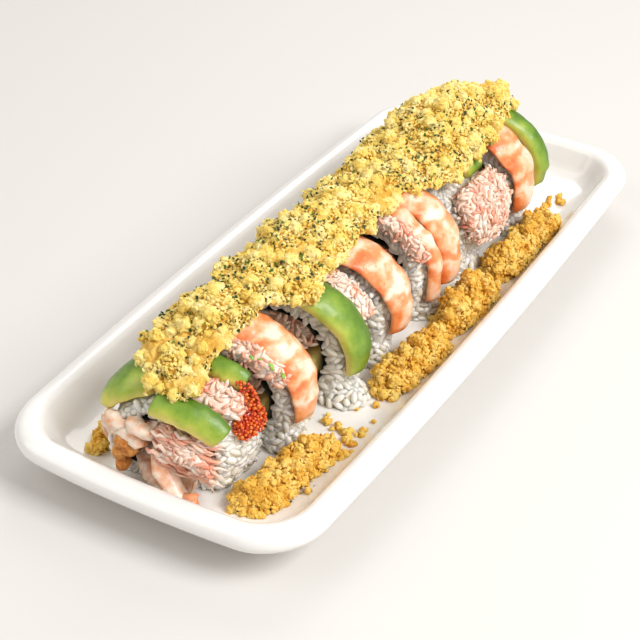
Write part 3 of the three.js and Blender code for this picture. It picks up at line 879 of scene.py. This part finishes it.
def build_crumbs():
    names = [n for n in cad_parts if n.startswith("crumbs")]
    low = (FLOOR_HEIGHT + 0.05) * MM
    for name in names:
        core = grown(name + "_bed", node_surface(name, grow=-0.8 * MM), ROUGH, Level=3, Coarse_Scale=180.0,
                     Coarse_Depth=3.0 * MM, Fine_Scale=500.0, Fine_Depth=1.5 * MM, Material=LOOK["crumbs"])
        finished(keep_above(core, low), "crumbs", name)
    surface = joined([node_surface(n, lambda place, normal: normal.z > -0.3) for n in names], "crumb_surface")
    clumps = grown("crumb_clumps", surface, SCATTER, Shapes=CLUMPS, Spacing=3.2 * MM, Density=4e5,
                   Smallest=1.0,
                   Largest=2.5, Tilt=3.1, Sink=0.4 * MM, Seed=31, Material=LOOK["crumbs"])
    finished(keep_above(clumps, low), "crumbs")
    knobbly = joined([mesh_surface(surface, None, 0.5 * MM), mesh_surface(clumps.data)], "crumb_knobs")
    bits = grown("crumb_bits", knobbly, SCATTER, Shapes=BITS, Spacing=1.1 * MM,
                 Density=2e6, Smallest=0.4, Largest=1.0, Tilt=3.1, Sink=0.0, Seed=32, Material=LOOK["crumbs"])
    finished(keep_above(bits, low), "crumbs")


def tube(path, girth, sides=7, flat=1.0, rag=0.0):
    """Vertices and faces of a closed tube along a path in mm, with a radius at each point; rag roughens it."""
    path = np.asarray(path, float)
    verts = []
    for i, (place, radius) in enumerate(zip(path, girth)):
        way = Vector(path[min(i + 1, len(path) - 1)] - path[max(i - 1, 0)]).normalized()
        side = way.cross(Vector((0.13, 0.2, 1))).normalized()
        up = side.cross(way)
        for j in range(sides):
            a = 2 * math.pi * j / sides
            around = side * math.cos(a) + up * (flat * math.sin(a))
            knob = 1 + rag * noise.noise(Vector(place) * 0.4 + around * 1.7)
            verts.append((Vector(place) + around * float(radius) * knob) * MM)
    faces = tube_faces(len(path), sides)
    return verts, faces


def tubes_piece(name, look, tubes):
    """One piece of many tubes, each with its own random tint and its length as s."""
    dice = np.random.default_rng(len(tubes))
    verts, faces, tints, lengths = [], [], [], []
    for points, quads in tubes:
        start = len(verts)
        verts += points
        faces += [tuple(start + i for i in quad) for quad in quads]
        tints += [dice.random()] * len(points)
        lengths += list(np.linspace(0, 1, len(points)))
    return outward(mesh_piece(name, verts, faces, LOOK[look], tint=tints, s=lengths))


def build_near_cut():
    """What spills out of the near cut: shredded crab, shrimp lumps with a curl, and a shrimp tail."""
    dice = np.random.default_rng(4)
    u = np.linspace(0, 1, 6)
    shreds = []
    for _ in range(SHRED_COUNT):
        left, z, droop = dice.uniform(-4, 13), dice.uniform(20, 33), dice.uniform(-1, 4)
        length = dice.uniform(5, 11)
        x = left + length * u
        bulge = 4.2 * math.sin(math.pi * min(max((z - 15) / 19, 0), 1)) + dice.uniform(-0.8, 0.8)
        path = np.stack([x, CUT_FACE + CUT_SLANT * x - bulge - 1.5 * np.sin(np.pi * u),
                         np.maximum(z - 0.12 * x - droop * u ** 2 + dice.normal(0, 0.6, 6), 9.5)], axis=1)
        girth = dice.uniform(0.6, 1.25) * np.array([0.4, 0.9, 1, 1, 0.8, 0.3])
        shreds.append(tube(path, girth, 6, 0.7))
    finished(tubes_piece("crab_spill_shreds", "crab", shreds), "crab")
    lumps = []
    for x, y, z, r in SHRIMP_LUMPS:
        span = np.linspace(-1, 1, 9)
        path = np.stack([x + 5.5 * span, y + 1.2 * span ** 2, z - 1.4 * span], axis=1)
        lumps.append(tube(path, r * np.sqrt(np.maximum(1 - span ** 2, 0.04)), 14, 0.8, 0.6))
    curl = [(-19 - 3 * math.sin(a), -121.5, 25 + 5 * math.cos(a)) for a in np.linspace(-0.7, 2.6, 9)]
    lumps.append(tube(curl, CURL_GIRTH, 8))
    finished(tubes_piece("shrimp_front_lumps", "white_flesh", lumps), "shrimp")
    tail = tube(TAIL_LINE, TAIL_GIRTH, 14, 0.75, 0.4)
    finished(tubes_piece("shrimp_tail", "white_flesh", [tail]), "shrimp")
    tips = []
    for lean in TIP_LEANS:
        line = [(9.5, -124.2, 11.8), (11.8, -124.4, 12.2), (13.8, -124.2, 12.2 + lean),
                (15.2, -123.8, 12 + 2 * lean)]
        tips.append(tube(line, TIP_GIRTH, 10, 0.6))
    finished(tubes_piece("shrimp_tail_tips", "coral", tips), "shrimp")


def build_loose():
    """Single crumbs, herb chips and cut spring onion."""
    dice = np.random.default_rng(9)
    points = []
    for x, y in LOOSE_CRUMBS:
        for _ in range(CRUMBS_AT_EACH):
            points.append((x + dice.normal(0, CRUMB_SPREAD), y + dice.normal(0, CRUMB_SPREAD)))
    for _ in range(STRAY_CRUMBS):
        points.append((dice.uniform(*STRAY_SIDE), dice.uniform(*STRAY_ALONG)))
    for name, slot, look, held, places, size, tilt in (
            ("loose_crumbs", "crumbs", "crumbs", CLUMPS, points, 1.3, 3.1),
            ("loose_herbs", "flakes", "herb", CHIPS, LOOSE_HERBS, 1.0, 0.5)):
        half = 0.05 * MM
        verts, faces = [], []
        for x, y in places:
            start = len(verts)
            lift = (FLOOR_HEIGHT + 0.6 * size) * MM
            for a, b in ((-1, -1), (1, -1), (1, 1), (-1, 1)):
                verts.append((x * MM + a * half, y * MM + b * half, lift))
            faces.append((start, start + 1, start + 2, start + 3))
        spots = bpy.data.meshes.new(name + "_spots")
        spots.from_pydata(verts, [], faces)
        piece = grown(name, spots, SCATTER, Shapes=held, Spacing=1.0 * MM, Density=1e9, Smallest=0.6 * size,
                      Largest=1.25 * size, Tilt=tilt, Sink=0.0, Seed=2, Material=LOOK[look])
        finished(keep_above(piece, (FLOOR_HEIGHT + 0.05) * MM), slot)
    onions = []
    for angle, y, lift in SPRING_ONION:
        a = dice.uniform(0, 3)
        base = on_roll(angle, y, lift) / MM
        ring = [base + np.array([1.6 * math.cos(a + k), 0.9 * k - 1, 1.6 * math.sin(a + k)])
                for k in (0, 0.5, 1, 1.5)]
        onions.append(tube(ring, [0.3, 0.75, 0.75, 0.3], 7, 0.45))
    finished(tubes_piece("spring_onion", "onion", onions), "avocado")


def build_stage():
    floor = mesh_piece("floor", [(-3, -3, 0), (3, -3, 0), (3, 3, 0), (-3, 3, 0)], [(0, 1, 2, 3)])
    material, *_ = new_material("pale_floor", Base_Color=linear("#d9d6d2"), Roughness=0.6)
    floor.data.materials.append(material)
    world = bpy.data.worlds.new("studio")
    world.use_nodes = True
    world.node_tree.nodes["Background"].inputs["Color"].default_value = (1.0, 0.96, 0.9, 1.0)
    world.node_tree.nodes["Background"].inputs["Strength"].default_value = 0.5
    bpy.context.scene.world = world
    bpy.context.scene.view_settings.view_transform = "Standard"
    for name, place, size, power in LIGHTS:
        light = bpy.data.lights.new(name, "AREA")
        light.size = size
        light.energy = power
        lamp = bpy.data.objects.new(name, light)
        lamp.location = place
        lamp.rotation_euler = (Vector((0, 0, 0.03)) - Vector(place)).to_track_quat("-Z", "Y").to_euler()
        bpy.context.scene.collection.objects.link(lamp)


def build_camera():
    data = bpy.data.cameras.new("camera")
    data.lens = CAMERA_LENS
    data.sensor_width = 36
    data.clip_start = 0.01
    camera = bpy.data.objects.new("camera", data)
    camera.location = [v * MM for v in CAMERA_PLACE]
    camera.rotation_euler = (math.radians(90 - CAMERA_TILT), 0, math.radians(CAMERA_TURN))
    bpy.context.scene.collection.objects.link(camera)
    bpy.context.scene.camera = camera


build_stage()
build_camera()
build_plate()
build_rice()
build_rice_feet()
build_nori()
build_crab()
build_fillings()
build_shrimp()
build_avocado()
build_flakes()
build_crumbs()
build_near_cut()
build_loose()
